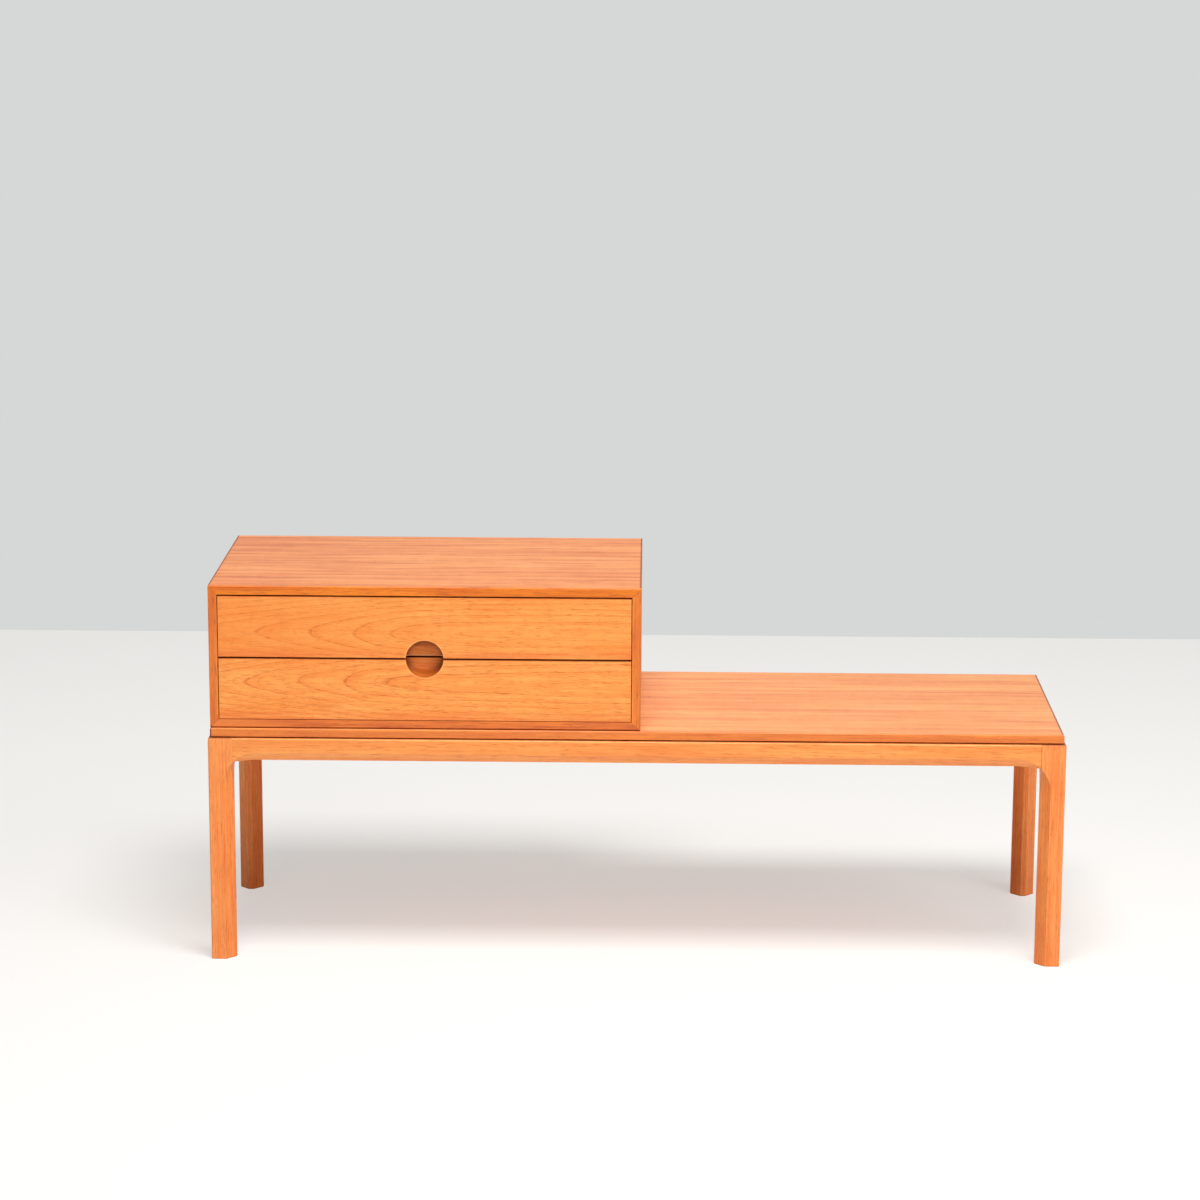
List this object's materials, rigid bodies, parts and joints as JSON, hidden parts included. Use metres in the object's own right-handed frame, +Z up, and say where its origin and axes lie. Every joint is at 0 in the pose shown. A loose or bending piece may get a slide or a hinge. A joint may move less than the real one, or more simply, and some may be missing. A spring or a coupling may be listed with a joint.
{
  "type": "hall bench",
  "caption": "Low hall bench: a thin seat board on a stand with chamfered legs and rails, and at its left end a small case of stacked drawers that share a round finger pull.",
  "frame": {"origin": "on the floor, in the middle of the stand's footprint", "axes": "+X to the right along the bench, +Y to the back, +Z up; the drawers open towards -Y"},
  "size_m": [1.13, 0.35, 0.508],
  "materials": {
    "teak_solid": "oiled, satin",
    "teak_veneer": "oiled, satin",
    "teak_front": "oiled, satin",
    "teak_pull": "oiled, satin",
    "pale_hardwood": "planed, bare",
    "plywood": "sanded, bare",
    "steel": "dull zinc"
  },
  "bodies": {
    "bench": {"case_back_panel": "plywood", "case_back_pins": "steel", "case_bottom": "teak_veneer", "case_left_side": "teak_veneer", "case_lipping_bottom": "teak_solid", "case_lipping_left_side": "teak_solid", "case_lipping_right_side": "teak_solid", "case_lipping_top": "teak_solid", "case_mitre_splines": "plywood", "case_right_side": "teak_veneer", "case_screws": "steel", "case_top": "teak_veneer", "corner_block_back_left": "pale_hardwood", "corner_block_back_right": "pale_hardwood", "corner_block_front_left": "pale_hardwood", "corner_block_front_right": "pale_hardwood", "leg_back_left": "teak_solid", "leg_back_right": "teak_solid", "leg_front_left": "teak_solid", "leg_front_right": "teak_solid", "middle_block_back": "pale_hardwood", "middle_block_front": "pale_hardwood", "rail_back": "teak_solid", "rail_front": "teak_solid", "rail_left": "teak_solid", "rail_right": "teak_solid", "runner_lower_left": "pale_hardwood", "runner_lower_right": "pale_hardwood", "runner_screws": "steel", "runner_upper_left": "pale_hardwood", "runner_upper_right": "pale_hardwood", "seat_board": "teak_veneer", "seat_lipping_back": "teak_solid", "seat_lipping_front": "teak_solid", "seat_lipping_left": "teak_solid", "seat_lipping_right": "teak_solid", "seat_screws": "steel"},
    "upper_drawer": {"upper_drawer_back": "pale_hardwood", "upper_drawer_bottom": "plywood", "upper_drawer_front": "teak_front", "upper_drawer_left_side": "pale_hardwood", "upper_drawer_pins": "steel", "upper_drawer_pull": "teak_pull", "upper_drawer_right_side": "pale_hardwood"},
    "lower_drawer": {"lower_drawer_back": "pale_hardwood", "lower_drawer_bottom": "plywood", "lower_drawer_front": "teak_front", "lower_drawer_left_side": "pale_hardwood", "lower_drawer_pins": "steel", "lower_drawer_pull": "teak_pull", "lower_drawer_right_side": "pale_hardwood"}
  },
  "joints": [
    {"name": "upper_drawer_slide", "type": "slide", "parent": "bench", "child": "upper_drawer", "axis": [0, -1, 0], "range_m": [0, 0.2]},
    {"name": "lower_drawer_slide", "type": "slide", "parent": "bench", "child": "lower_drawer", "axis": [0, -1, 0], "range_m": [0, 0.2]}
  ]
}
